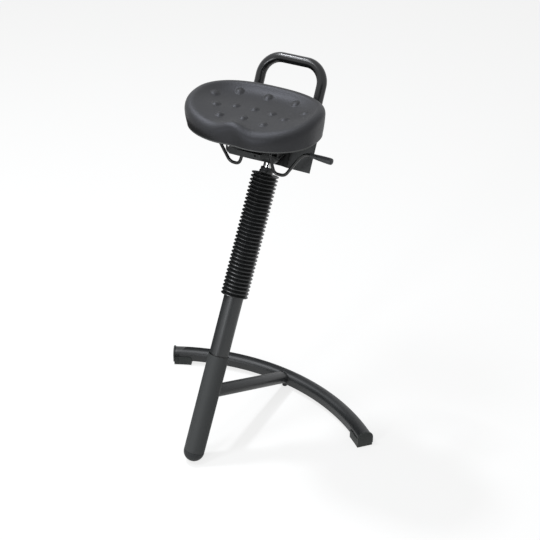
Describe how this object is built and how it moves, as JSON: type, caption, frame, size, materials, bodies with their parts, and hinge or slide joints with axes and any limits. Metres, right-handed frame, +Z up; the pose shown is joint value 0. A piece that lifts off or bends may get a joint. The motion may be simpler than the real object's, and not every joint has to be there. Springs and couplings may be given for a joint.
{
  "type": "perch stool",
  "caption": "Height-adjustable standing seat on a leaning gas column with a bowed rear foot, tilting contoured seat, two hand levers and a rear handle.",
  "frame": {"origin": "middle of the front foot's flat on the floor", "axes": "+Z up, the seat's front towards -Y, +X to the sitter's left as the sitter faces -Y; the head is turned 7.7 degrees about +Z"},
  "size_m": [0.6762, 0.487, 0.9629],
  "materials": {
    "column_coat": "fine satin powder coat, dark grey",
    "sleeve_coat": "satin powder coat, dark grey",
    "bracket_coat": "satin powder coat, near black",
    "gloss_tube": "gloss black coat",
    "bare_steel": "zinc-plated steel",
    "lift_chrome": "polished chrome",
    "bellows_rubber": "semi-gloss moulded rubber, near black",
    "foot_rubber": "matte moulded rubber, black",
    "black_plastic": "fine-textured moulded plastic, black",
    "glide_plastic": "fine-textured moulded plastic, dark grey",
    "grip_plastic": "satin moulded plastic, grey",
    "seat_foam": "matte fine-grained skin of moulded foam, dark grey"
  },
  "bodies": {
    "base": {"foot_cap": "foot_rubber", "column_sleeve": "sleeve_coat", "column_tube": "column_coat", "column_base_disc": "bare_steel", "thrust_bearing": "bare_steel", "guide_bush": "black_plastic", "bellows": "bellows_rubber", "base_arc": "column_coat", "glide_left": "glide_plastic", "glide_right": "glide_plastic", "centre_stop": "foot_rubber", "link_tube": "column_coat"},
    "rod": {"piston_rod": "bare_steel", "retaining_clip": "bare_steel"},
    "lift": {"lift_cylinder": "lift_chrome", "bellows_collar": "black_plastic", "taper_hub": "bracket_coat", "carrier_tray": "bracket_coat", "mechanism_housing": "bare_steel", "height_lever_bearing": "black_plastic", "tilt_lever_bearing": "black_plastic", "tilt_stop": "foot_rubber"},
    "valve": {"valve_pin": "bare_steel"},
    "height_control": {"height_lever": "gloss_tube", "height_grip": "grip_plastic", "valve_paddle": "bare_steel"},
    "tilt_control": {"tilt_lever": "gloss_tube", "tilt_grip": "grip_plastic", "tilt_latch": "bare_steel"},
    "seat": {"seat_plate": "bare_steel", "pivot_pin": "bare_steel", "seat_pan": "black_plastic", "seat_cushion": "seat_foam", "rear_bracket": "bracket_coat", "handle": "gloss_tube", "seat_screw_front_left": "bare_steel", "seat_screw_front_right": "bare_steel", "seat_screw_rear_left": "bare_steel", "seat_screw_rear_right": "bare_steel"}
  },
  "joints": [
    {"name": "seat_swivel", "type": "hinge", "parent": "base", "child": "rod", "pos_m": [0, 0, 0.026], "axis": [0, 0.4113, 0.9115], "continuous": true},
    {"name": "height_slide", "type": "slide", "parent": "rod", "child": "lift", "axis": [0, 0.4113, 0.9115], "range_m": [-0.2, 0], "deforming": ["bellows"]},
    {"name": "seat_tilt", "type": "hinge", "parent": "lift", "child": "seat", "pos_m": [0.00831, 0.28746, 0.8112], "axis": [0.991, 0.134, 0], "range_deg": [0, 12]},
    {"name": "height_lever_lift", "type": "hinge", "parent": "lift", "child": "height_control", "pos_m": [0.04238, 0.30419, 0.7912], "axis": [0.134, -0.991, 0], "range_deg": [0, 5], "stiffness_Nm_per_rad": 3, "springref_deg": -6.88},
    {"name": "tilt_lever_lift", "type": "hinge", "parent": "lift", "child": "tilt_control", "pos_m": [-0.02898, 0.29454, 0.7912], "axis": [-0.134, 0.991, 0], "range_deg": [0, 5], "stiffness_Nm_per_rad": 3, "springref_deg": -6.88},
    {"name": "valve_press", "type": "slide", "parent": "lift", "child": "valve", "axis": [0, -0.4113, -0.9115], "range_m": [0, 0.0037]}
  ],
  "couplings": [
    {"joint": "valve_press", "follows": "height_lever_lift", "m_per_rad": 0.0415}
  ]
}
